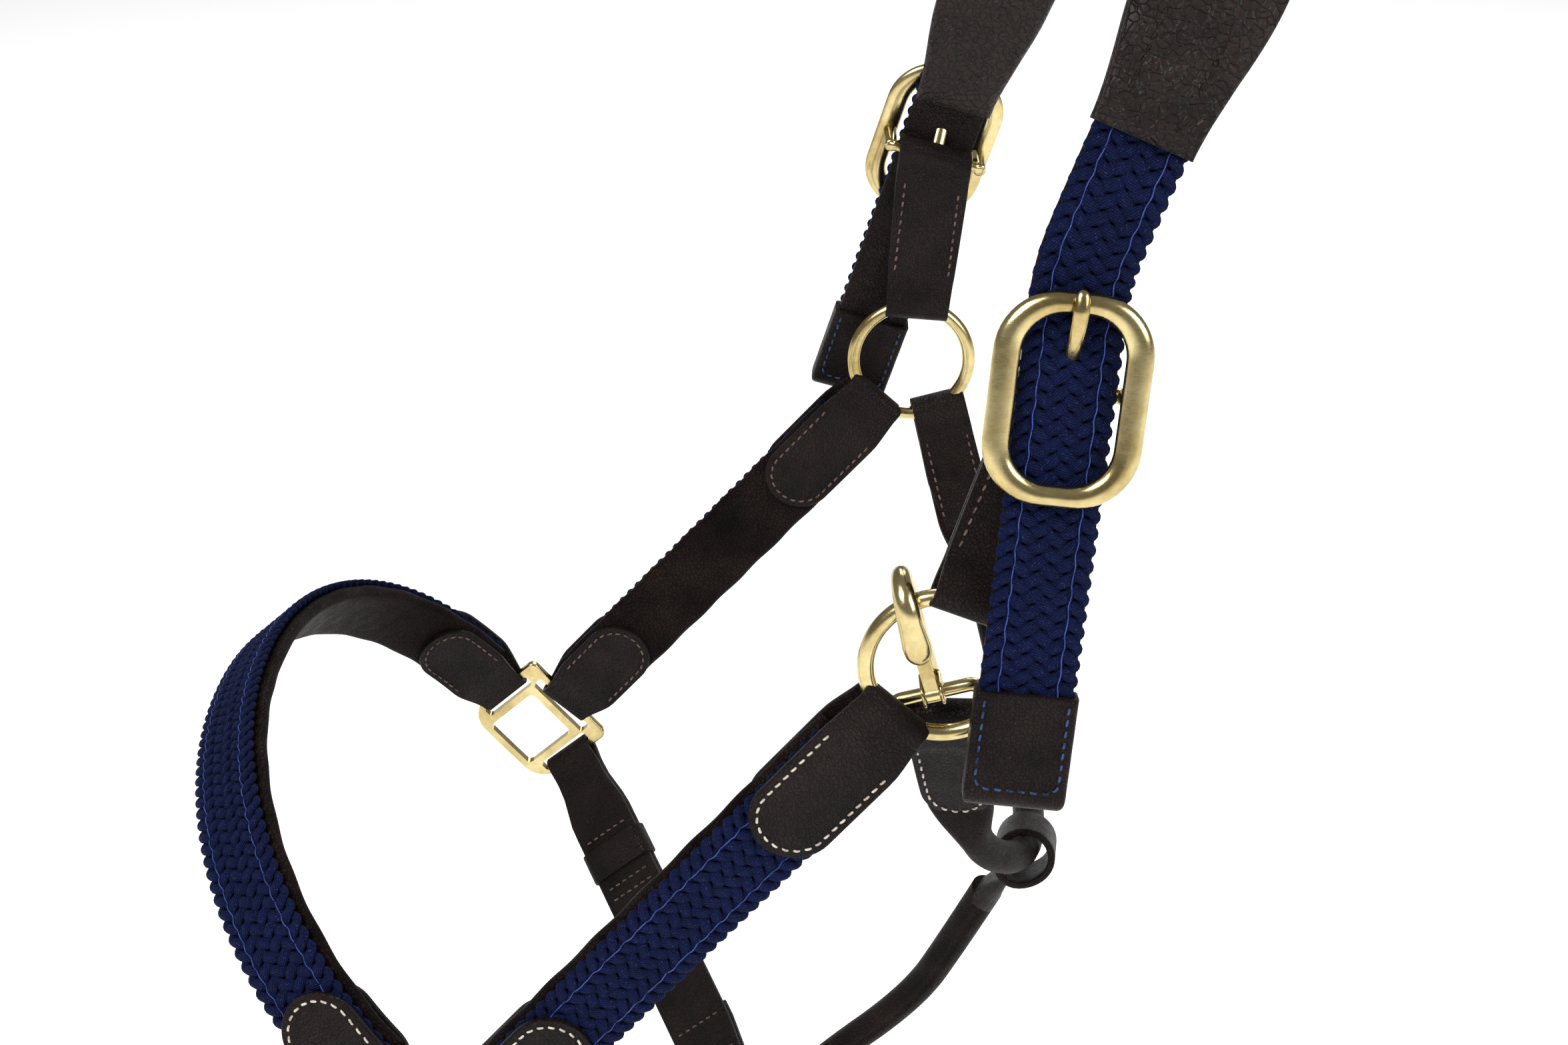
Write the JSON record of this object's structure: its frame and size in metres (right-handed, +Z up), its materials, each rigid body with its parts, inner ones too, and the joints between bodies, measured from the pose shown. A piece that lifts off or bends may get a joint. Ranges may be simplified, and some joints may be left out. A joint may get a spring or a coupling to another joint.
{
  "type": "headcollar",
  "caption": "Leather horse headcollar with braided cord straps, padded poll and noseband, brass buckles, rings, halter squares and a snap hook.",
  "frame": {"origin": "middle of the underside of the headpiece, where it rests on the horse's poll", "axes": "+X towards the neck, -Y the near (left) side, +Z up with the head carried at rest"},
  "size_m": [0.3322, 0.2647, 0.4964],
  "materials": {
    "braid": "flat braid of cotton cord",
    "strap_leather": "smooth bridle leather, semi-gloss",
    "padded_leather": "soft grained leather over foam",
    "rolled_leather": "smooth rolled leather",
    "foam": "closed-cell foam",
    "brass": "polished solid brass"
  },
  "bodies": {
    "crown": {"crown_backing": "strap_leather", "crown_braid": "braid", "far_billet_tip": "strap_leather", "far_buckle_chape": "strap_leather", "far_buckle_frame": "brass", "headpiece_cover": "padded_leather", "headpiece_foam": "foam", "headpiece_lining": "padded_leather", "near_billet_tip": "strap_leather", "near_buckle_chape": "strap_leather", "near_buckle_frame": "brass"},
    "face": {"far_cheek_braid": "braid", "far_cheek_lining": "padded_leather", "far_cheek_lower_tab": "strap_leather", "far_cheek_upper_tab": "strap_leather", "far_chin_keeper": "strap_leather", "far_chin_strap": "strap_leather", "far_halter_square": "brass", "far_nose_tab": "strap_leather", "jaw_strap": "rolled_leather", "near_cheek_braid": "braid", "near_cheek_lining": "padded_leather", "near_cheek_lower_tab": "strap_leather", "near_cheek_upper_tab": "strap_leather", "near_chin_keeper": "strap_leather", "near_chin_strap": "strap_leather", "near_halter_square": "brass", "near_nose_tab": "strap_leather", "noseband_braid": "braid", "noseband_lining": "padded_leather", "snap_body": "brass", "snap_pin": "brass", "throat_strap": "rolled_leather"},
    "near_ring": {"near_cheek_ring": "brass"},
    "far_ring": {"far_cheek_ring": "brass"},
    "chin_ring_body": {"chin_ring": "brass"},
    "near_tongue": {"near_buckle_tongue": "brass"},
    "far_tongue": {"far_buckle_tongue": "brass"},
    "gate": {"snap_gate": "brass"}
  },
  "joints": [
    {"name": "near_tongue_lift", "type": "hinge", "parent": "crown", "child": "near_tongue", "pos_m": [-0.0595, -0.103, -0.141], "axis": [0.9955, -0.0164, -0.093], "range_deg": [0, 15]},
    {"name": "near_ring_turn", "type": "hinge", "parent": "crown", "child": "near_ring", "pos_m": [-0.088, -0.112, -0.215], "axis": [0, 1, 0], "continuous": true},
    {"name": "far_tongue_lift", "type": "hinge", "parent": "crown", "child": "far_tongue", "pos_m": [-0.0821, 0.103, -0.139], "axis": [-0.9575, -0.0501, 0.2839], "range_deg": [0, 15]},
    {"name": "far_ring_turn", "type": "hinge", "parent": "crown", "child": "far_ring", "pos_m": [-0.088, 0.112, -0.215], "axis": [0, 1, 0], "continuous": true},
    {"name": "face_swing", "type": "hinge", "parent": "crown", "child": "face", "pos_m": [-0.088, 0, -0.215], "axis": [0, 1, 0], "range_deg": [-30, 3]},
    {"name": "chin_ring_turn", "type": "hinge", "parent": "face", "child": "chin_ring_body", "pos_m": [-0.15, 0, -0.465], "axis": [0.6534, 0, -0.757], "continuous": true},
    {"name": "gate_open", "type": "hinge", "parent": "face", "child": "gate", "pos_m": [-0.09, -0.10797, -0.22594], "axis": [-0.9678, 0, -0.2516], "range_deg": [0, 20], "stiffness_Nm_per_rad": 0.01}
  ]
}
